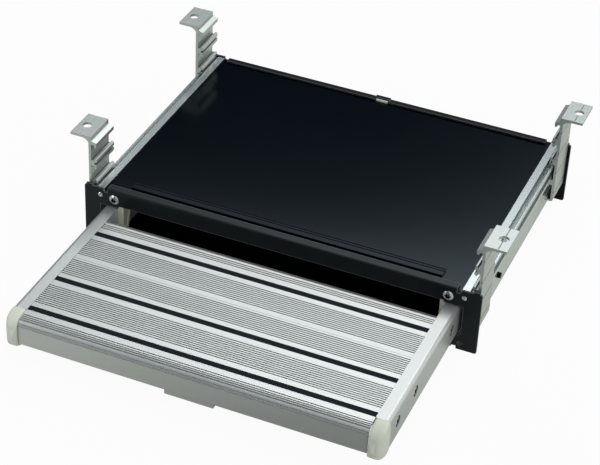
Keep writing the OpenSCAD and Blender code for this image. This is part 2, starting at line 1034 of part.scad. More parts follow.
module top_cover() {
    color(black) placed()
        along_y(guide_front, guide_rear)
            rect([-cover_half, shelf_top], [cover_half, shelf_top + cover_thickness]);
}

// the grooved strip along the cover's front edge
strip_start = 16;
strip_back = 28.9;
strip_high = fold_high;
strip_end = 11;
strip_groove = 0.9;

module cover_strip() {
    color(rubber) placed()
        along_x(-half + strip_end, half - strip_end)
            difference() {
                rect([strip_start, shelf_top + cover_thickness], [strip_back, strip_high]);
                for (y = [23.5, 27.4])
                    translate([y, strip_high])
                        circle(r = strip_groove, $fn = 16);
            }
}

module bottom_cover() {
    color(black) placed()
        along_y(guide_front, guide_rear)
            rect([-cover_half, guide_low + floor_flange],
                 [cover_half, guide_low + floor_flange + cover_thickness]);
}

// the catch behind which the latch drops when the step is in
keeper_y = foot_front + travel;
keeper_floor = guide_low + floor_flange + cover_thickness;

module latch_keeper() {
    color(steel) placed()
        along_x(-12, 12)
            union() {
                rect([keeper_y - 20, keeper_floor], [keeper_y - 0.5, keeper_floor + 1.5]);
                rect([keeper_y - 2, keeper_floor], [keeper_y - 0.5, mouth_low - 0.5]);
            }
}

// the bracket's web, plate and hooked pockets, drawn in X and Z
module bracket_section() {
    web_out = web_in + bracket_wall;
    plate_end = web_in + bracket_reach;
    low = pocket_top - 3 * pocket_pitch - pocket - 2.4;
    vee = 1.1;
    slot = 1;
    slot_deep = 1.3;
    difference() {
        union() {
            rect([web_in, low], [web_out, bracket_top]);
            rect([web_in, bracket_top - bracket_wall], [plate_end, bracket_top]);
            difference() {
                rect([web_out - 1, bracket_top - bracket_wall - 5], [web_out + 9, bracket_top - 1]);
                translate([web_out + 9, bracket_top - bracket_wall - 5 - 5.6])
                    circle(r = 10.6);
            }
            polygon([[web_in + 0.5, pocket_top + 5.2], [web_in, pocket_top + 5.2], [hook_nose, pocket_top + 3.1],
                     [hook_nose, pocket_top - hook_tip + 1.4], [hook_lip, pocket_top - hook_tip],
                     [hook_back, pocket_top - hook_tip], [hook_back, pocket_top], [web_in + 0.5, pocket_top]]);
            for (k = [0 : 2])
                bridge(pocket_top - pocket - k * pocket_pitch);
            polygon([[web_in + 0.5, low + 2.4], [hook_back, low + 2.4], [hook_back, low + 5.3], [hook_lip, low + 5.3],
                     [hook_nose, low + 3.9], [hook_nose, low], [web_in + 0.5, low]]);
        }
        difference() {
            rect([web_out - 3, low - 1], [web_out + 1, low + 3]);
            translate([web_out - 3, low + 3])
                circle(r = 3);
        }
        for (k = [0 : 3])
            translate([web_out - slot_deep, pocket_top - pocket / 2 - k * pocket_pitch - slot / 2])
                square([slot_deep + 1, slot]);
        translate([bolt_x(), bracket_top])
            rotate(45)
                square(vee, center = true);
    }
}

// where the bolt hole sits across the plate
function bolt_x() = web_in + 15.6;

// a bridge with two back-to-back hooks; z is its top
module bridge(z) {
    gap = pocket_pitch - pocket;
    rect([hook_back, z - gap], [web_in + 0.5, z]);
    polygon([[hook_back + 0.1, z + hook_tip], [hook_lip, z + hook_tip], [hook_nose, z + hook_tip - 1.4],
             [hook_nose, z - gap / 2 + 1.3], [hook_back + 0.1, z - gap / 2 + 1.3]]);
    polygon([[hook_back + 0.1, z - gap / 2 - 1.3], [hook_nose, z - gap / 2 - 1.3],
             [hook_nose, z - gap - hook_tip + 1.4], [hook_lip, z - gap - hook_tip],
             [hook_back + 0.1, z - gap - hook_tip]]);
}

module bracket(y) {
    color(aluminium) placed()
        difference() {
            along_y(y, y + bracket_length)
                bracket_section();
            translate([bolt_x(), y + bracket_length / 2, bracket_top - 10])
                cylinder(h = 20, r = bolt_radius);
        }
}

module bracket_front_right() {
    bracket(bracket_front);
}

module bracket_front_left() {
    left()
        bracket(bracket_front);
}

module bracket_rear_right() {
    bracket(bracket_rear);
}

module bracket_rear_left() {
    left()
        bracket(bracket_rear);
}

tread_front_profile();
tread_rear_profile();
grip_strip_front();
grip_strip_middle();
grip_strip_rear();
rail_left();
rail_right();
end_cap_left();
end_cap_right();
rail_screws_left();
rail_screws_right();
rear_crossbar();
rear_shoe_left();
rear_shoe_right();
guide_block_left();
guide_block_right();
handle_bracket();
handle_pin();
release_handle();
release_rod();
latch_bracket();
latch_pin();
latch_pawl();
latch_spring();
guide_left();
guide_right();
stop_block_left();
stop_block_right();
stop_screws();
side_pad_left();
side_pad_right();
side_pad_screws();
front_plate();
rear_plate();
rear_catch();
front_plate_screws();
front_plate_pins();
rear_plate_screws();
rear_plate_pins();
top_cover();
cover_strip();
bottom_cover();
latch_keeper();
bracket_front_left();
bracket_front_right();
bracket_rear_left();
bracket_rear_right();
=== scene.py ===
"""Pull out step for a caravan door, dressed for the camera.

Bare aluminium extrusions, a black folded cassette, rubber grip strips and moulded end caps.
"""

import math

import bpy
import numpy as np
from mathutils import Matrix, Vector


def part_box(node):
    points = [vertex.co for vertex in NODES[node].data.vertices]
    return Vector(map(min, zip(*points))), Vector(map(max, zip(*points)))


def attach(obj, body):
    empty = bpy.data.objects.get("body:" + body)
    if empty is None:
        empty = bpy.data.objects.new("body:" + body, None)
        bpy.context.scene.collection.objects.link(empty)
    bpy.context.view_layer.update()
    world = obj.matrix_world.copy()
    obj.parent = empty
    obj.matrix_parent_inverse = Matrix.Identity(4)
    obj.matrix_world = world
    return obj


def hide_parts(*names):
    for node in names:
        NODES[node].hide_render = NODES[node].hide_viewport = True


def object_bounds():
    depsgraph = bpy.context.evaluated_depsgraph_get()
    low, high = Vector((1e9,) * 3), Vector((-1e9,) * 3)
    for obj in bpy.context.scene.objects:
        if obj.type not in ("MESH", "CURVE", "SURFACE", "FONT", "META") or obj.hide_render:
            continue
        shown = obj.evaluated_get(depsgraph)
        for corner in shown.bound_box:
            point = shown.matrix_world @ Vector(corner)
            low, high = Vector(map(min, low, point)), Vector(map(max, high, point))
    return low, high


bl_info = {
    "name": "Caravan pull out step",
    "version": (1, 0, 0),
    "blender": (4, 5, 0),
    "location": "View3D > Sidebar > Step",
    "description": "Finishes a pull out step and lights it on a pale studio floor",
    "category": "Object",
}

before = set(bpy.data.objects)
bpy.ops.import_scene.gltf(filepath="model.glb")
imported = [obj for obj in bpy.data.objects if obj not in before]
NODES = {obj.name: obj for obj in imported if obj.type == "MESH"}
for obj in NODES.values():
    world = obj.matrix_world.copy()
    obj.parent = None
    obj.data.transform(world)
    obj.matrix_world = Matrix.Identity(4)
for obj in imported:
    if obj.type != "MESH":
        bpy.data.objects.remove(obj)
CAD_BOX = [list(v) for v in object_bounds()]
MM = 0.001

# The camera was solved from the front plate's face and the rails' tops, which lie here in the frame.
PLATE_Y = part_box("front_plate")[0].y
RAIL_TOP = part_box("rail_right")[1].z


# ---------------------------------------------------------------- small helpers


def linear(hex_colour):
    """sRGB hex to the linear RGBA that shaders use: each channel goes through the sRGB curve backwards."""
    rgb = [int(hex_colour.lstrip("#")[i:i + 2], 16) / 255 for i in (0, 2, 4)]
    return tuple(c / 12.92 if c <= 0.04045 else ((c + 0.055) / 1.055) ** 2.4 for c in rgb) + (1.0,)


def add_node(tree, kind, links=None, **settings):
    """Adds one shader node; settings are attributes or numbered inputs (in0, in1), links are input to socket."""
    node = tree.nodes.new(kind)
    for key, value in settings.items():
        if key.startswith("in") and key[2:].isdigit():
            node.inputs[int(key[2:])].default_value = value
        else:
            setattr(node, key, value)
    for key, socket in (links or {}).items():
        tree.links.new(socket, node.inputs[key])
    return node


def new_material(name, metallic=0.0, roughness=0.5, colour="#808080"):
    """A material with one Principled surface, its steady values on its own sockets."""
    material = bpy.data.materials.new(name)
    material.use_nodes = True
    tree = material.node_tree
    surface = tree.nodes["Principled BSDF"]
    surface.inputs["Base Color"].default_value = linear(colour)
    surface.inputs["Metallic"].default_value = metallic
    surface.inputs["Roughness"].default_value = roughness
    return material, tree, surface


def mapped(tree, scale):
    """Object coordinates stretched by a scale in patterns a metre."""
    place = add_node(tree, "ShaderNodeTexCoord")
    return add_node(tree, "ShaderNodeMapping", {"Vector": place.outputs["Object"]}, in3=scale).outputs["Vector"]


def noise(tree, per_metre, detail):
    """Noise with so many patterns a metre, one number for all ways or a list for X, Y and Z."""
    scale = per_metre if isinstance(per_metre, list) else [per_metre] * 3
    return add_node(tree, "ShaderNodeTexNoise", {"Vector": mapped(tree, scale)}, in2=1.0, in3=detail).outputs["Fac"]


def drawn_out(along, across_count, along_count):
    """Patterns a metre for X, Y and Z, with their own number along the axis that a section was extruded on."""
    return [along_count if axis == along else across_count for axis in "XYZ"]


def blended(tree, factor, low, high):
    """A colour between two hex colours, by a 0 to 1 factor."""
    ramp = add_node(tree, "ShaderNodeValToRGB", {"Fac": factor})
    ramp.color_ramp.elements[0].color = linear(low)
    ramp.color_ramp.elements[1].color = linear(high)
    return ramp.outputs["Color"]


def ranged(tree, value, low, high, start=0.0, end=1.0):
    """A value moved from start..end to low..high."""
    node = add_node(tree, "ShaderNodeMapRange", {"Value": value})
    for key, number in (("From Min", start), ("From Max", end), ("To Min", low), ("To Max", high)):
        node.inputs[key].default_value = number
    return node.outputs["Result"]


def swung(tree, pattern, low, high):
    """A noise pattern moved to low..high; noise seldom leaves 0.3 to 0.7."""
    return ranged(tree, pattern, low, high, 0.3, 0.7)


def bumped(tree, height, strength, distance, normal=None):
    """A normal raised by a height pattern, with the distance in metres."""
    links = {"Height": height}
    if normal is not None:
        links["Normal"] = normal
    return add_node(tree, "ShaderNodeBump", links, in0=strength, in1=distance).outputs["Normal"]


def softened(tree, radius):
    """Edges that look broken by a radius in metres, as every real edge is."""
    return add_node(tree, "ShaderNodeBevel", samples=8, in0=radius).outputs["Normal"]


def hollowed(tree, distance, alone=False):
    """How open a place is, from 0 deep in a groove to 1 on a flat, looking as far as a distance in metres.

    Alone leaves out what other pieces cover.
    """
    return add_node(tree, "ShaderNodeAmbientOcclusion", samples=16, only_local=alone, in1=distance).outputs["AO"]


def edge_highlight_mask(tree, radius):
    """1 along edges, where a painted highlight goes, and 0 on flats, within a radius in metres."""
    flat = add_node(tree, "ShaderNodeNewGeometry").outputs["Normal"]
    turned = add_node(tree, "ShaderNodeVectorMath", {0: softened(tree, radius), 1: flat}, operation="DOT_PRODUCT")
    return ranged(tree, turned.outputs["Value"], 1.0, 0.0, 0.75, 0.99)


def toned(tree, factor, low, high):
    """A mix of two colours, each a hex value or a socket."""
    node = add_node(tree, "ShaderNodeMix", {0: factor}, data_type="RGBA")
    for key, colour in ((6, low), (7, high)):
        if isinstance(colour, str):
            node.inputs[key].default_value = linear(colour)
        else:
            tree.links.new(colour, node.inputs[key])
    return node.outputs[2]


def mirroring(surface, shine, tint):
    """Sets how strongly a coat mirrors, where 0.5 is plain lacquer, and the tint of what it mirrors."""
    surface.inputs["Specular IOR Level"].default_value = shine
    surface.inputs["Specular Tint"].default_value = linear(tint)


def feed(tree, surface, colour=None, roughness=None, normal=None):
    """Leads patterns to a surface; what is left out keeps its steady value."""
    for key, socket in (("Base Color", colour), ("Roughness", roughness), ("Normal", normal)):
        if socket is not None:
            tree.links.new(socket, surface.inputs[key])


def finish_nodes(material, *names):
    """Puts one material on CAD nodes."""
    for name in names:
        mesh = NODES[name].data
        mesh.materials.clear()
        mesh.materials.append(material)


def made_piece(name, points, faces, material, body, node, smooth=False):
    """A mesh object from an array of points and a list of faces, which rides on a body and stands for a CAD node."""
    mesh = bpy.data.meshes.new(name)
    mesh.from_pydata(points.tolist(), [], faces)
    mesh.update()
    mesh.polygons.foreach_set("use_smooth", [smooth] * len(mesh.polygons))
    piece = bpy.data.objects.new(name, mesh)
    bpy.context.scene.collection.objects.link(piece)
    mesh.materials.append(material)
    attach(piece, body)
    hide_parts(node)
    return piece


# ---------------------------------------------------------------- finishes

# Patterns in a metre: across and along for what is drawn out, else alike all ways.
DIE_LINES, BATH_BANDS = (1400.0, 6.0), (60.0, 4.0)
ETCHED_GRAIN, ORANGE_PEEL, DUST, SHEET_WAVES, SPECKS = 2600.0, 900.0, 26.0, 9.0, 42.0
RUBBER_GRAIN, SPARK_GRAIN, MOULD_FLOW = 1500.0, 1100.0, 45.0
TURNING_MARKS = [1800.0, 500.0, 1800.0]


def anodised_extrusion(name, along, colour, roughness=0.36, shade="#78807a", metallic=0.88, grit=1.0,
                       reach=1.6 * MM, shade_stops_above=1.0, alone=False):
    """Aluminium, extruded, etched and satin anodised: a soft metal sheen with faint die lines along its length.

    The clear oxide scatters a little light, so it isn't wholly metallic, and painted shade darkens grooves, holes
    and slots towards the shade colour. Grit is how strongly the grain and the die lines stand up, reach how far into
    a groove the painted shade still looks, and shade_stops_above the height in metres above which most of the
    painted shade is lifted. Alone is for a piece that takes no painted shade from its neighbours.
    """
    material, tree, surface = new_material(name, metallic, roughness, colour)
    # die lines are about 0.2 mm apart, drawn 0.7 mm apart so that they show
    lines = noise(tree, drawn_out(along, *DIE_LINES), 2.0)
    # slow bands left by the bath, about 17 mm wide and 250 mm long
    bands = noise(tree, drawn_out(along, *BATH_BANDS), 3.0)
    grain = noise(tree, ETCHED_GRAIN, 1.0)
    tone = add_node(tree, "ShaderNodeHueSaturation", in3=1.0)
    tone.inputs["Color"].default_value = linear(colour)
    tree.links.new(swung(tree, bands, 0.97, 1.02), tone.inputs["Value"])
    # how open a place is where the painted shade is full, and where it is gone
    shade_full, shade_gone = 0.4, 0.92
    unshaded = ranged(tree, hollowed(tree, reach, alone), 0.0, 1.0, shade_full, shade_gone)
    place = add_node(tree, "ShaderNodeTexCoord")
    height = add_node(tree, "ShaderNodeSeparateXYZ", {0: place.outputs["Object"]}).outputs["Z"]
    # above the given height most of the painted shade is lifted
    shade_lifted = ranged(tree, height, 0.0, 0.8, shade_stops_above - 0.2 * MM, shade_stops_above)
    unshaded_share = add_node(tree, "ShaderNodeMath", {0: unshaded, 1: shade_lifted}, operation="MAXIMUM").outputs[0]
    streaked = swung(tree, lines, roughness - 0.03 * grit, roughness + 0.04 * grit)
    normal = bumped(tree, lines, 0.012 * grit, 0.02 * MM, softened(tree, 0.2 * MM))
    normal = bumped(tree, grain, 0.015 * grit, 0.02 * MM, normal)
    # painted shade: the colour falls to the shade colour where a place is closed in
    feed(tree, surface, toned(tree, unshaded_share, shade, tone.outputs["Color"]), streaked, normal)
    return material


def powder_coated_steel(name, colour, worn, shine):
    """Steel sheet, folded and powder coated black: fine orange peel, with a painted grey highlight along the edges.
    """
    material, tree, surface = new_material(name, 0.0, 0.42, colour)
    mirroring(surface, shine, "#c2d2dc")
    peel = noise(tree, ORANGE_PEEL, 2.0)
    dust = noise(tree, DUST, 4.0)
    coat = blended(tree, ranged(tree, dust, 0.0, 0.5, 0.35, 0.8), colour, worn)
    # a painted grey highlight along every edge and bend
    feed(tree, surface, toned(tree, edge_highlight_mask(tree, 1.0 * MM), coat, "#9aa2a0"),
         swung(tree, dust, 0.32, 0.42), bumped(tree, peel, 0.12, 0.08 * MM, softened(tree, 0.5 * MM)))
    return material


def coated_cover_sheet(name, colour, sheen):
    """Thin steel sheet, coil coated satin black: smooth, faintly wavy, with light scuffs and specks."""
    material, tree, surface = new_material(name, 0.0, 0.15, colour)
    mirroring(surface, 0.24, "#98c8d0")
    waves = noise(tree, SHEET_WAVES, 2.0)
    specks = add_node(tree, "ShaderNodeTexVoronoi", {"Vector": mapped(tree, [SPECKS] * 3)})
    feed(tree, surface, blended(tree, swung(tree, waves, 0.0, 1.0), colour, sheen),
         ranged(tree, specks.outputs["Distance"], 0.35, 0.15, 0.0, 0.05),
         bumped(tree, waves, 0.06, 2 * MM, softened(tree, 0.4 * MM)))
    return material


def moulded_rubber(name, colour, roughness=0.5, shine=0.24):
    """EPDM rubber, extruded: dull black with a fine matt grain and a little grey bloom."""
    material, tree, surface = new_material(name, 0.0, roughness, colour)
    mirroring(surface, shine, "#b4d0e6")
    grain = noise(tree, RUBBER_GRAIN, 2.0)
    feed(tree, surface, blended(tree, ranged(tree, grain, 0.0, 0.7, 0.3, 0.8), colour, "#10161a"),
         normal=bumped(tree, grain, 0.1, 0.05 * MM))
    return material


def moulded_plastic(name, colour, shade, roughness):
    """Injection moulded polyamide: an even satin skin with a fine spark-eroded grain, a little soft light inside."""
    material, tree, surface = new_material(name, 0.0, roughness, colour)
    grain = noise(tree, SPARK_GRAIN, 2.0)
    flow = noise(tree, MOULD_FLOW, 3.0)
    surface.inputs["Subsurface Weight"].default_value = 0.12
    surface.inputs["Subsurface Radius"].default_value = (0.004, 0.004, 0.003)
    surface.inputs["Subsurface Scale"].default_value = 0.5
    feed(tree, surface, blended(tree, ranged(tree, flow, 0.0, 0.35, 0.35, 0.75), colour, shade),
         normal=bumped(tree, grain, 0.12, 0.08 * MM, softened(tree, 0.6 * MM)))
    return material


def zinc_plated_steel(name, colour, roughness, shade_reach=4 * MM):
    """Carbon steel, turned or pressed and bright zinc plated: a crisp cool metal with faint turning marks.

    Painted shade darkens the colour inside a screw's socket and where other pieces close round it, as far as
    shade_reach looks.
    """
    material, tree, surface = new_material(name, 1.0, roughness, colour)
    marks = noise(tree, TURNING_MARKS, 2.0)
    if shade_reach:
        # painted shade: near black where the place is closed in
        unshaded_plate = ranged(tree, hollowed(tree, shade_reach), 0.0, 1.0, 0.7, 0.95)
        feed(tree, surface, toned(tree, unshaded_plate, "#08090a", colour))
    feed(tree, surface, roughness=swung(tree, marks, roughness - 0.06, roughness + 0.12),
         normal=bumped(tree, marks, 0.05, 0.03 * MM, softened(tree, 0.2 * MM)))
    return material


# ---------------------------------------------------------------- shapes


def carried_profile(profile, x0, x1, rows, wave=None):
    """A closed profile in Y and Z carried along X in rows steps; each end is closed by a fan to its middle.

    point(u, v) = (x0 + (x1 - x0) v, y(u), z(u) + wave(x, y, z)), with u round the profile and v along the length.
    """
    count = len(profile)
    x = np.linspace(x0, x1, rows + 1)
    points = np.empty((rows + 1, count, 3))
    points[:, :, 0] = x[:, None]
    points[:, :, 1:] = profile[None]
    if wave is not None:
        points[:, :, 2] += wave(points[:, :, 0], points[:, :, 1], points[:, :, 2])
    index = np.arange((rows + 1) * count).reshape(rows + 1, count)
    nxt = np.roll(index, -1, axis=1)
    sides = np.stack([index[:-1], index[1:], nxt[1:], nxt[:-1]], -1).reshape(-1, 4)
    middles = points[[0, -1]].mean(1)
    hub = np.array([(rows + 1) * count, (rows + 1) * count + 1])
    first = np.stack([index[0], nxt[0], np.full(count, hub[0]), np.full(count, hub[0])], -1)
    last = np.stack([nxt[-1], index[-1], np.full(count, hub[1]), np.full(count, hub[1])], -1)
    faces = [list(f) for f in sides] + [list(f[:3]) for f in first] + [list(f[:3]) for f in last]
    return np.concatenate([points.reshape(-1, 3), middles]), faces


def domed_cap(low, high, inner, rows=18, around=96):
    """A moulded cap: a rounded box whose front swells like a quarter ellipse, closed at the front and the back.

    With t from 0 at the start of the swell to 1 at the front, each side moves in by its own radius times
    1 - sqrt(1 - t squared). Round the cap, x and z follow |cos| and |sin| to a power below 1, which is smaller on
    the inner side, so that its corners are tighter.
    """
    # the swell's length in the box, how far it really reaches, and the bulge in the middle of its front
    swell, reach, bulge = 22 * MM, 22 * MM + 0.8 * MM, 2.6 * MM
    # how far each side turns in on the way to the front
    inner_turn, outer_turn, top_turn, base_turn = 1.6 * MM, 9 * MM, 12 * MM, 10 * MM
    # how far the cap stands out past its box, to the side and below
    stands_out, hangs_down = 2.2 * MM, 2.6 * MM
    t = np.sin(np.linspace(0, math.pi / 2, rows))
    back = high.y - low.y - swell
    y = np.concatenate([[high.y], high.y - back - reach * t])
    inset = np.concatenate([[0], 1 - np.sqrt(1 - t ** 2)])
    outer = 1 if inner < (low.x + high.x) / 2 else -1
    wide = high.x - low.x
    # the outer side stands proud of the rail, from nothing at the back
    proud = stands_out * np.concatenate([[0], np.minimum(1, 0.35 + t)])
    x_in = inner + outer * inner_turn * inset
    x_out = inner + outer * (wide + proud - outer_turn * inset)
    top = high.z - top_turn * inset
    base = low.z - hangs_down + base_turn * inset
    u = np.linspace(0, 2 * math.pi, around, endpoint=False)
    side = 0.5 + 0.5 * np.cos(u)
    power = 0.16 + 0.26 * side
    cx = np.sign(np.cos(u)) * np.abs(np.cos(u)) ** power
    sz = np.sign(np.sin(u)) * np.abs(np.sin(u)) ** power
    points = np.empty((rows + 1, around, 3))
    points[:, :, 0] = ((x_in + x_out) / 2)[:, None] + ((x_out - x_in) / 2)[:, None] * cx
    points[:, :, 1] = y[:, None]
    points[:, :, 2] = ((top + base) / 2)[:, None] + ((top - base) / 2)[:, None] * sz
    # the middle of the front, in four more rings, which bulges by (1 - share squared) squared
    for share in (0.8, 0.6, 0.4, 0.2):
        ring = points[rows].mean(0) + (points[rows] - points[rows].mean(0)) * share
        ring[:, 1] -= bulge * (1 - share ** 2) ** 2
        points = np.concatenate([points, ring[None]])
    count = len(points)
    index = np.arange(count * around).reshape(count, around)
    nxt = np.roll(index, -1, axis=1)
    sides = np.stack([index[:-1], nxt[:-1], nxt[1:], index[1:]], -1).reshape(-1, 4)
    hub = count * around
    rear = np.stack([nxt[0], index[0], np.full(around, hub)], -1)
    front = np.stack([index[-1], nxt[-1], np.full(around, hub + 1)], -1)
    faces = np.concatenate([sides, np.pad(rear, ((0, 0), (0, 1)), constant_values=-1),
                            np.pad(front, ((0, 0), (0, 1)), constant_values=-1)])
    if outer < 0:
        faces = np.where(faces[:, 3:] < 0, faces[:, [2, 1, 0, 3]], faces[:, ::-1])
    middles = np.stack([points[0].mean(0), points[-1].mean(0)])
    return np.concatenate([points.reshape(-1, 3), middles]), [[i for i in f if i >= 0] for f in faces.tolist()]


# ---------------------------------------------------------------- studio


def paper_floor(scene):
    """A white floor at the step's lowest point, which glows to the camera, and which also glows in the metal as a
    painted reflection, warm and dimmer towards the front right.
    """
    low = CAD_BOX[0][2]
    mesh = bpy.data.meshes.new("studio_floor")
    far = 9
    mesh.from_pydata([(-far, -far, low), (far, -far, low), (far, far, low), (-far, far, low)], [], [(0, 1, 2, 3)])
    floor = bpy.data.objects.new("studio_floor", mesh)
    scene.collection.objects.link(floor)
    material, tree, surface = new_material("white_paper_floor", 0.0, 0.9, "#d0d0ce")
    # the paper glows to the camera and less to metal, and keeps the shadow in the rest of its light
    to_camera, to_metal = 0.95, 0.6
    glow = add_node(tree, "ShaderNodeEmission", in1=1.0)
    path = add_node(tree, "ShaderNodeLightPath")
    mirror = add_node(tree, "ShaderNodeMath", {0: path.outputs["Is Glossy Ray"],
                                               1: path.outputs["Is Transmission Ray"]}, operation="MAXIMUM")
    # in metal the floor glows warm as a painted reflection, and that painted glow fades at the front right round a
    # given point: it is gone within the first
    #     distance in metres and full past the second
    dark_glow_point, dark_glow_inner, dark_glow_outer = (0.2, -0.6, low), 0.08, 0.42
    place = add_node(tree, "ShaderNodeTexCoord")
    apart = add_node(tree, "ShaderNodeVectorMath", {0: place.outputs["Object"]}, operation="DISTANCE")
    apart.inputs[1].default_value = dark_glow_point
    glint = ranged(tree, apart.outputs["Value"], 0.0, 0.8, dark_glow_inner, dark_glow_outer)
    bright = add_node(tree, "ShaderNodeMath", {0: path.outputs["Is Camera Ray"], 1: glint}, operation="MAXIMUM")
    tree.links.new(bright.outputs[0], glow.inputs["Strength"])
    tree.links.new(toned(tree, path.outputs["Is Camera Ray"], "#ecf0e2", "#ffffff"), glow.inputs["Color"])
    share = add_node(tree, "ShaderNodeMath", {0: mirror.outputs[0]}, operation="MULTIPLY", in1=to_metal)
    seen = add_node(tree, "ShaderNodeMath", {0: path.outputs["Is Camera Ray"], 2: share.outputs[0]},
                    operation="MULTIPLY_ADD", in1=to_camera)
    total = add_node(tree, "ShaderNodeMixShader", {0: seen.outputs[0], 1: surface.outputs[0],
                                                   2: glow.outputs[0]})
    tree.links.new(total.outputs[0], tree.nodes["Material Output"].inputs["Surface"])
    mesh.materials.append(material)


def light_tent(scene):
    """The world: a dim tent wall with a bright roof for the step, and plain white for the camera."""
    world = bpy.data.worlds.new("light_tent")
    scene.world = world
    world.use_nodes = True
    tree = world.node_tree
    back = tree.nodes["Background"]
    place = add_node(tree, "ShaderNodeTexCoord")
    parts = add_node(tree, "ShaderNodeSeparateXYZ", {0: place.outputs["Generated"]}).outputs
    # the tent's wall is dim and bluish up to about 25 degrees, where its lit white roof begins, lower to the right
    # and higher to the left
    slope, roof_start, roof_full, wall_light, roof_light = 0.75, 0.375, 0.455, 0.07, 0.95
    height = add_node(tree, "ShaderNodeMath", {0: parts["X"], 2: parts["Z"]}, operation="MULTIPLY_ADD", in1=slope)
    roof = add_node(tree, "ShaderNodeMapRange", {"Value": height.outputs[0]}, interpolation_type="SMOOTHSTEP",
                    in1=roof_start, in2=roof_full).outputs["Result"]
    tent = ranged(tree, roof, wall_light, roof_light)
    path = add_node(tree, "ShaderNodeLightPath")
    lit = add_node(tree, "ShaderNodeMix", {"Factor": path.outputs["Is Camera Ray"], "A": tent})
    lit.inputs["B"].default_value = 1.0
    tree.links.new(lit.outputs["Result"], back.inputs["Strength"])
    shade = toned(tree, roof, "#a2ccff", "#ffffff")
    hue = add_node(tree, "ShaderNodeMix", {0: path.outputs["Is Camera Ray"], 6: shade}, data_type="RGBA")
    hue.inputs[7].default_value = (1, 1, 1, 1)
    tree.links.new(hue.outputs[2], back.inputs["Color"])


def softbox(scene, name, place_at, aim_at, wide, high, power, roll=0.0):
    """A rectangular area lamp turned towards a point, and rolled about that line by an angle in radians."""
    lamp = bpy.data.lights.new(name, "AREA")
    lamp.shape, lamp.size, lamp.size_y, lamp.energy = "RECTANGLE", wide, high, power
    holder = bpy.data.objects.new(name, lamp)
    holder.visible_camera = False
    holder.location = place_at
    turn = (Vector(aim_at) - Vector(place_at)).to_track_quat("-Z", "Y").to_matrix().to_4x4()
    holder.rotation_euler = (turn @ Matrix.Rotation(roll, 4, "Z")).to_euler()
    scene.collection.objects.link(holder)


def photo_camera(scene):
    """The camera at the photograph's view, its place and turn solved from the photograph's straight edges."""
    azimuth, elevation, roll = 0.374822458, 0.622718718, 0.0498467431
    away = Vector((math.sin(azimuth) * math.cos(elevation), -math.cos(azimuth) * math.cos(elevation),
                   math.sin(elevation)))
    right = (-away).cross(Vector((0, 0, 1))).normalized()
    up = right.cross(-away)
    x_axis = right * math.cos(roll) + up * math.sin(roll)
    y_axis = up * math.cos(roll) - right * math.sin(roll)
    eye = Vector((0.663659, -1.618440 + PLATE_Y, 1.288697 + RAIL_TOP))
    camera = bpy.data.objects.new("photo_camera", bpy.data.cameras.new("photo_camera"))
    scene.collection.objects.link(camera)
    camera.data.sensor_width = 36.0
    camera.data.lens = scene.step_sizes.lens
    camera.data.clip_end = 50
    turn = Matrix((x_axis, y_axis, away)).transposed().to_4x4()
    camera.matrix_world = Matrix.Translation(eye) @ turn
    scene.camera = camera


# ---------------------------------------------------------------- settings


class StepFinishes(bpy.types.PropertyGroup):
    """Colours of the step's finishes, as sRGB hex."""

    aluminium: bpy.props.StringProperty(
        name="Aluminium", description="Satin anodised aluminium of treads, rails and guides", default="#c1c6c4")
    guide: bpy.props.StringProperty(
        name="Guides", description="Smoother, slightly cooler aluminium of the two guides", default="#c3cccb")
    bracket: bpy.props.StringProperty(
        name="Brackets", description="Slightly darker aluminium of the hanging brackets", default="#b8bfbc")
    plate: bpy.props.StringProperty(
        name="Plates", description="Black powder coat of the folded end plates", default="#0a0c0e")
    plate_worn: bpy.props.StringProperty(
        name="Thin coat", description="Greyer places in the plates' coat", default="#121410")
    cover: bpy.props.StringProperty(
        name="Cover", description="Satin black of the cassette's covers", default="#010307")
    cover_sheen: bpy.props.StringProperty(
        name="Cover sheen", description="Bluer places on the covers", default="#02060b")
    rubber: bpy.props.StringProperty(
        name="Grip rubber", description="Black of the grip strips", default="#06090c")
    cap: bpy.props.StringProperty(
        name="End caps", description="Pale moulded plastic of the end caps", default="#d2d8c9")
    cap_shade: bpy.props.StringProperty(
        name="Cap shade", description="Deeper places in the end caps' plastic", default="#bec5b4")
    block: bpy.props.StringProperty(
        name="Guide blocks", description="Cream plastic of blocks and shoes", default="#d8d6c8")
    zinc: bpy.props.StringProperty(
        name="Zinc", description="Bright zinc plate of screws and latch", default="#c9cbcc")


class StepSizes(bpy.types.PropertyGroup):
    """Sizes of the details that only the dressed step has, and of the studio."""

    rib_pitch: bpy.props.FloatProperty(
        name="Rib pitch", description="Distance between the slanting ribs on a grip strip",
        default=0.0021, min=0.001, max=0.004, unit="LENGTH")
    rib_height: bpy.props.FloatProperty(
        name="Rib height", description="How far a slanting rib stands up",
        default=0.0003, min=0.0, max=0.0006, unit="LENGTH")
    lens: bpy.props.FloatProperty(
        name="Lens", description="Camera lens that gives the photograph's view, in millimetres",
        default=116.74, min=50.0, max=200.0)


# ---------------------------------------------------------------- operators


class StepDressTread(bpy.types.Operator):
    """Anodised treads, rails, handle and crossbar of the step that slides."""

    bl_idname = "step.dress_tread"
    bl_label = "Treads and rails"

    def execute(self, context):
        look = context.scene.step_finishes
        # the tread's default shade colour and the rail's #0b0d0e are painted shade in grooves and holes
        across = anodised_extrusion("satin_anodised_tread", "X", look.aluminium, 0.40, metallic=0.82)
        along = anodised_extrusion("satin_anodised_rail", "Y", look.aluminium, 0.38, "#0b0d0e", 0.6,
                                   reach=9 * MM, alone=True)
        finish_nodes(across, "tread_front_profile", "tread_rear_profile", "rear_crossbar", "release_handle")
        finish_nodes(along, "rail_left", "rail_right")
        return {"FINISHED"}


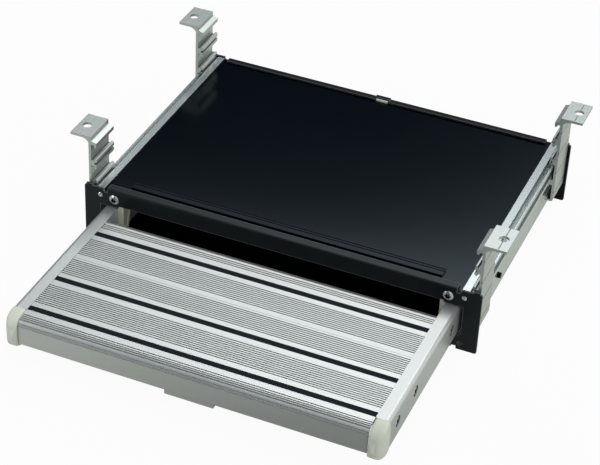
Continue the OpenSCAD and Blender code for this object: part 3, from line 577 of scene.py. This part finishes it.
class StepMakeGrips(bpy.types.Operator):
    """Rubber grip strips with fine slanting ribs."""

    bl_idname = "step.make_grips"
    bl_label = "Grip strips"

    def execute(self, context):
        sizes = context.scene.step_sizes
        rubber = moulded_rubber("extruded_epdm_rubber", context.scene.step_finishes.rubber)
        foot, foot_high, r = 1.0 * MM, 0.95 * MM, 0.5 * MM
        ribs_lean, rows_a_rib = 0.9, 6
        for name in ("grip_strip_front", "grip_strip_middle", "grip_strip_rear"):
            low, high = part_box(name)
            y0, y1 = low.y + foot, high.y - foot
            # top line from rear to front, rounded at both shoulders, then down to the foot and under
            turn = np.linspace(0, math.pi / 2, 4)
            top = high.z - sizes.rib_height
            shoulder_a = np.stack([y1 - r + r * np.cos(turn), top - r + r * np.sin(turn)], -1)
            flat = np.stack([np.linspace(y1 - r, y0 + r, 9)[1:-1], np.full(7, top)], -1)
            shoulder_b = np.stack([y0 + r - r * np.sin(turn), top - r + r * np.cos(turn)], -1)
            under = np.array([[y0, low.z + foot_high], [low.y, low.z + foot_high], [low.y, low.z],
                              [high.y, low.z], [high.y, low.z + foot_high], [y1, low.z + foot_high]])
            profile = np.concatenate([shoulder_a, flat, shoulder_b, under])

            def slant(x, y, z):
                """Ribs: half a sine wave across the strip's slant, only on its top."""
                phase = (x + ribs_lean * (y - y0)) / sizes.rib_pitch * 2 * math.pi
                return np.where(z > top - 0.2 * MM, sizes.rib_height * (0.5 + 0.5 * np.sin(phase)), 0)

            rows = int((high.x - low.x) / sizes.rib_pitch * rows_a_rib)
            points, faces = carried_profile(profile, low.x, high.x, rows, slant)
            made_piece(name + "_ribbed", points, faces, rubber, "step", name)
        return {"FINISHED"}


class StepDressPlastics(bpy.types.Operator):
    """Moulded end caps, shoes, guide blocks, stops and pads."""

    bl_idname = "step.dress_plastics"
    bl_label = "Moulded plastics"

    def execute(self, context):
        look = context.scene.step_finishes
        skin = moulded_plastic("moulded_polyamide_cap", look.cap, look.cap_shade, 0.42)
        for side, rail in (("left", "rail_left"), ("right", "rail_right")):
            name = "end_cap_" + side
            low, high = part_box(name)
            rail_low, rail_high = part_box(rail)
            high = Vector((high.x, rail_low.y, high.z))
            inner = rail_high.x if side == "left" else rail_low.x
            points, faces = domed_cap(low, high, inner)
            made_piece(name + "_domed", points, faces, skin, "step", name, smooth=True)
        finish_nodes(skin, "rear_catch")
        finish_nodes(moulded_plastic("moulded_polyamide_block", look.block, look.cap_shade, 0.5),
                     "guide_block_left", "guide_block_right", "rear_shoe_left", "rear_shoe_right",
                     "stop_block_left", "stop_block_right", "side_pad_left", "side_pad_right")
        return {"FINISHED"}


class StepDressCassette(bpy.types.Operator):
    """Guides, folded plates, covers and brackets of the cassette."""

    bl_idname = "step.dress_cassette"
    bl_label = "Cassette"

    def execute(self, context):
        look = context.scene.step_finishes
        # 4b555b on the guides and #1d201f on the brackets are painted shade in grooves and slots, on the brackets
        # mostly below -1.5 mm
        finish_nodes(anodised_extrusion("bright_anodised_guide", "Y", look.guide, 0.24, "#4b555b", 0.74, 0.15),
                     "guide_left", "guide_right")
        finish_nodes(anodised_extrusion("bright_extruded_bracket", "Y", look.bracket, 0.36, "#1d201f", 0.74,
                                        reach=3 * MM, shade_stops_above=-1.5 * MM),
                     "bracket_front_left", "bracket_front_right", "bracket_rear_left", "bracket_rear_right")
        finish_nodes(powder_coated_steel("black_powder_coated_steel", look.plate, look.plate_worn, 0.36),
                     "front_plate")
        finish_nodes(powder_coated_steel("black_powder_coated_steel_rear", look.plate, look.plate_worn, 0.16),
                     "rear_plate")
        finish_nodes(coated_cover_sheet("satin_coil_coated_sheet", look.cover, look.cover_sheen),
                     "top_cover", "bottom_cover")
        finish_nodes(moulded_rubber("smooth_extruded_rubber_edging", look.rubber, 0.2, 0.2), "cover_strip")
        return {"FINISHED"}


class StepDressMetalwork(bpy.types.Operator):
    """Screws, pins and the latch gear."""

    bl_idname = "step.dress_metalwork"
    bl_label = "Screws and latch"

    def execute(self, context):
        look = context.scene.step_finishes
        bright = zinc_plated_steel("bright_zinc_plated_steel", look.zinc, 0.24)
        finish_nodes(bright, "front_plate_screws", "rear_plate_screws")
        # the rail screws' heads take painted shade from the rail's holes round them, as far as 5 mm
        finish_nodes(zinc_plated_steel("bright_zinc_plated_rail_screws", "#f2f3f1", 0.3, 5 * MM),
                     "rail_screws_left", "rail_screws_right")
        finish_nodes(zinc_plated_steel("bright_zinc_plated_small_parts", look.zinc, 0.2, None),
                     "front_plate_pins", "rear_plate_pins", "stop_screws", "handle_bracket", "handle_pin",
                     "release_rod", "latch_bracket", "latch_pin", "latch_pawl", "latch_spring", "latch_keeper")
        finish_nodes(zinc_plated_steel("black_oxide_steel", "#1a1b1c", 0.4), "side_pad_screws")
        return {"FINISHED"}


class StepMakeStudio(bpy.types.Operator):
    """Pale floor, soft lights and the camera at the photograph's view."""

    bl_idname = "step.make_studio"
    bl_label = "Studio"

    def execute(self, context):
        scene = context.scene
        paper_floor(scene)
        light_tent(scene)
        middle = (0, -0.1, -0.1)
        softbox(scene, "key_back", (-0.15, 1.38, 1.76), middle, 2.1, 1.15, 17.5, 0.12)
        softbox(scene, "fill_front", (-0.72, -0.8, 0.2), (-0.1, -0.4, -0.12), 0.35, 0.3, 1.3)
        softbox(scene, "rim_right", (1.5, 1.2, 0.3), middle, 0.9, 0.6, 1.0)
        photo_camera(scene)
        scene.view_settings.view_transform = "Standard"
        return {"FINISHED"}


STEPS = (StepDressTread, StepMakeGrips, StepDressPlastics, StepDressCassette, StepDressMetalwork, StepMakeStudio)


class StepPanel(bpy.types.Panel):
    """Lists the pieces in the order they are made."""

    bl_idname = "VIEW3D_PT_pull_out_step"
    bl_label = "Pull out step"
    bl_space_type = "VIEW_3D"
    bl_region_type = "UI"
    bl_category = "Step"

    def draw(self, context):
        for group in (context.scene.step_finishes, context.scene.step_sizes):
            for name in group.__annotations__:
                self.layout.prop(group, name)
        for step in STEPS:
            self.layout.operator(step.bl_idname)


CLASSES = (StepFinishes, StepSizes, *STEPS, StepPanel)


def register():
    """Registers the classes and hangs the two groups of settings on the scene."""
    for cls in CLASSES:
        bpy.utils.register_class(cls)
    bpy.types.Scene.step_finishes = bpy.props.PointerProperty(type=StepFinishes)
    bpy.types.Scene.step_sizes = bpy.props.PointerProperty(type=StepSizes)


def unregister():
    """Takes back what register did."""
    del bpy.types.Scene.step_finishes, bpy.types.Scene.step_sizes
    for cls in reversed(CLASSES):
        bpy.utils.unregister_class(cls)


def main():
    """Dresses the step and sets up the studio."""
    register()
    for step in STEPS:
        getattr(bpy.ops.step, step.bl_idname.removeprefix("step."))()


if __name__ == "__main__":
    main()
